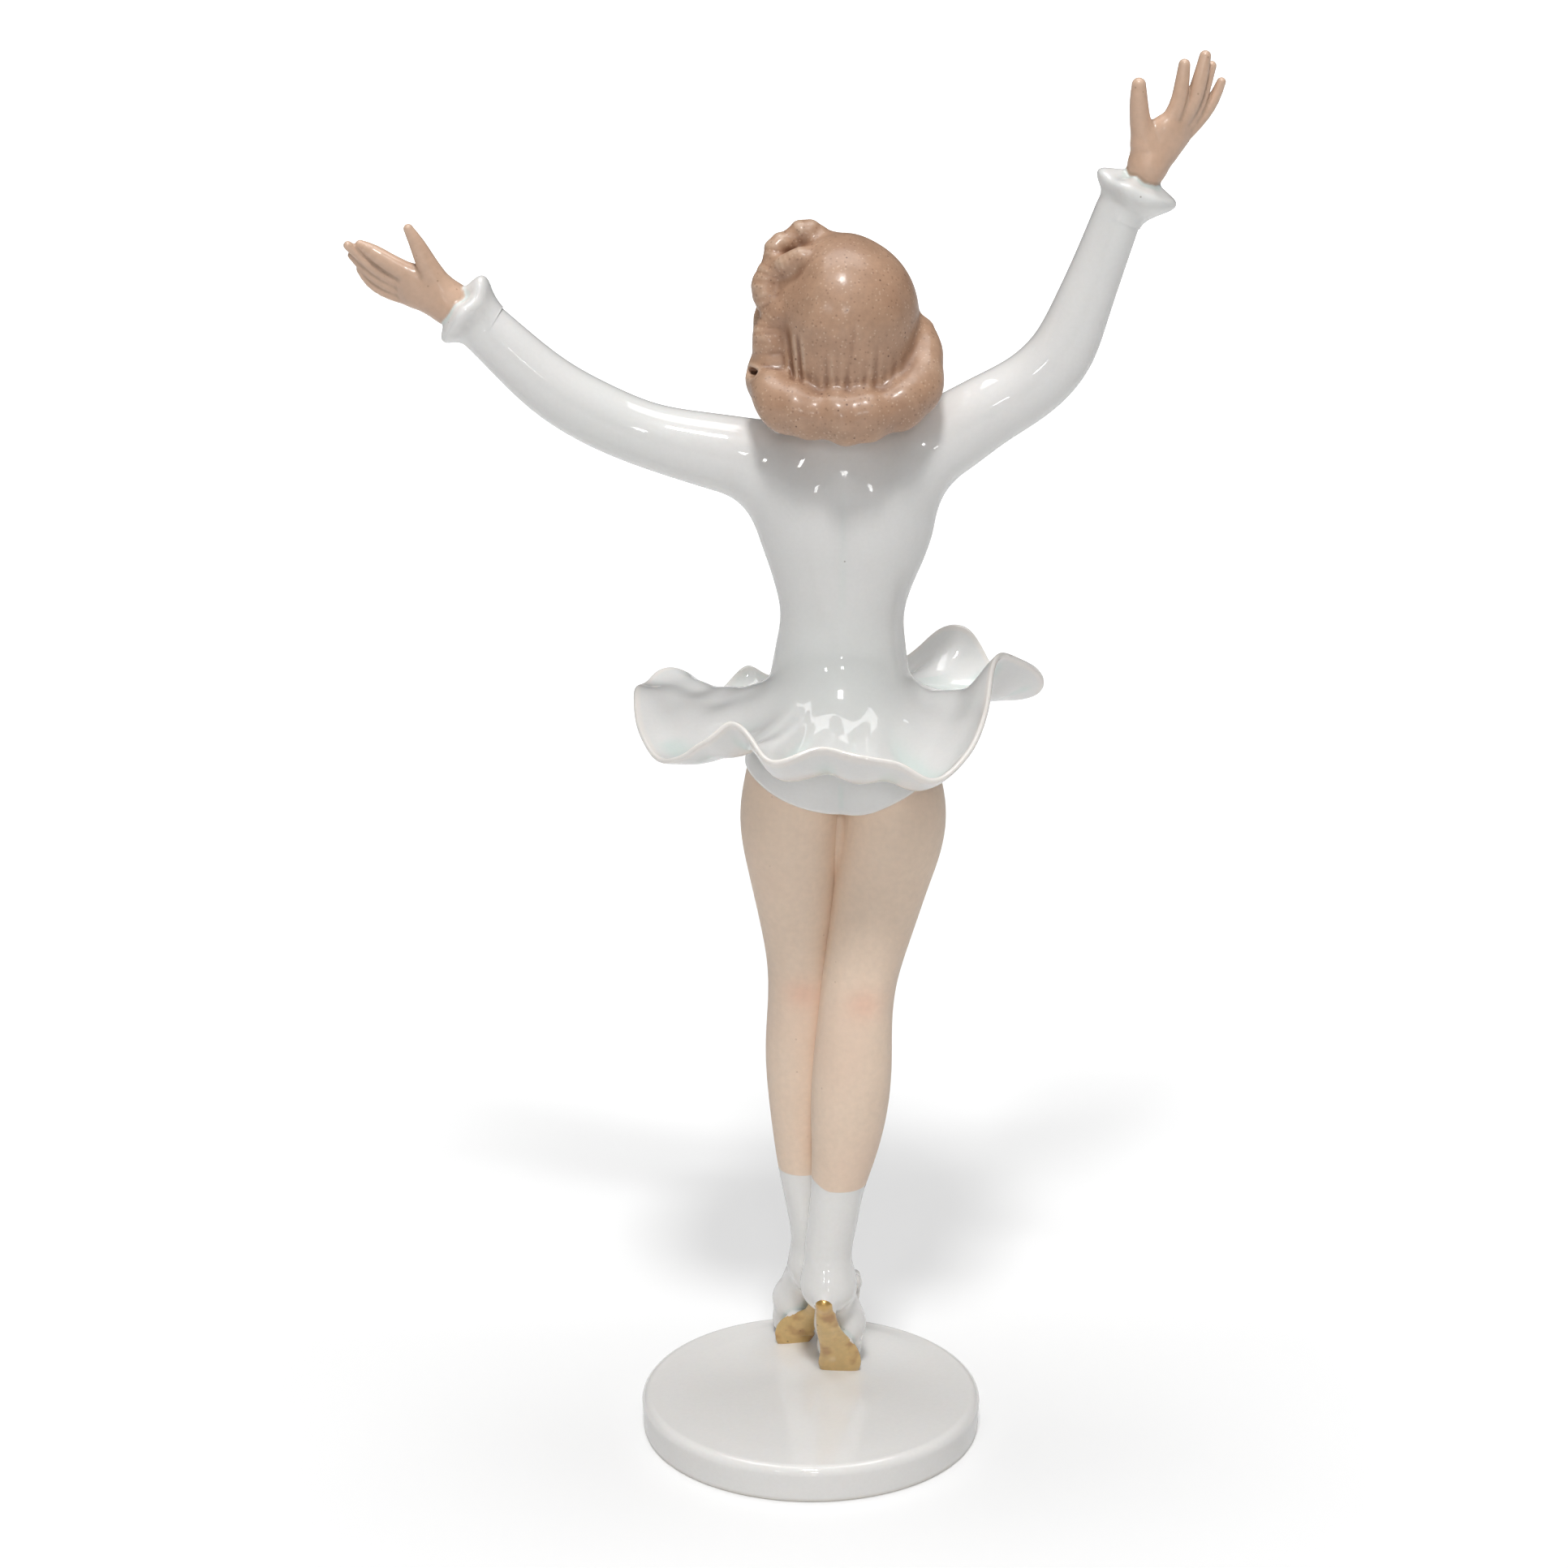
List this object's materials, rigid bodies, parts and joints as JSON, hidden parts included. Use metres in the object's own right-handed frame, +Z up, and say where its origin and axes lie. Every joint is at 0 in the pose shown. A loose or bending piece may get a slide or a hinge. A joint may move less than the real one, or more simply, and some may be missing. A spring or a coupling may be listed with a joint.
{
  "type": "porcelain figurine",
  "caption": "Porcelain figurine of a dancer on tiptoe with raised arms, seen from behind, in a short flared skirt, on a round disc base.",
  "frame": {"origin": "centre of the ring that the disc base stands on, on the table's plane", "axes": "+Z up; the dancer's face and toes point along +Y and her back along -Y; her left arm is on -X and her higher right arm on +X"},
  "size_m": [0.1524, 0.0659, 0.255],
  "materials": {
    "disc_glaze": "clear gloss glaze over white porcelain, smooth, with faint throwing marks",
    "boot_glaze": "clear gloss glaze over white porcelain",
    "dress_glaze": "clear gloss glaze over white porcelain, faintly blue-green where it pools",
    "skirt_glaze": "clear gloss glaze over a thin white sheet, faintly green in the folds",
    "cuff_glaze": "clear gloss glaze over a worked white frill",
    "leg_bisque": "satin flesh-toned porcelain, a soft pink blush behind the knees",
    "hand_glaze": "half-gloss tan glaze",
    "face_bisque": "satin flesh-toned porcelain with painted eyes, brows and lips",
    "hair_glaze": "satin brown glaze with fine dark specks, combed grooves",
    "gilding": "worn matt gold on the soles, burnished at the heel tips"
  },
  "bodies": {
    "root": {"base_disc": "disc_glaze", "base_mound": "disc_glaze", "left_sole": "gilding", "right_sole": "gilding", "left_boot": "boot_glaze", "right_boot": "boot_glaze", "right_boot_bow": "boot_glaze", "left_leg": "leg_bisque", "right_leg": "leg_bisque", "briefs": "dress_glaze", "torso": "dress_glaze", "skirt_back": "skirt_glaze", "skirt_right": "skirt_glaze", "skirt_front": "skirt_glaze", "skirt_left": "skirt_glaze", "left_sleeve": "dress_glaze", "right_sleeve": "dress_glaze", "left_cuff": "cuff_glaze", "right_cuff": "cuff_glaze", "left_hand": "hand_glaze", "right_hand": "hand_glaze", "head": "face_bisque", "hair_cap": "hair_glaze", "hair_roll": "hair_glaze", "hair_waves": "hair_glaze"}
  },
  "joints": []
}
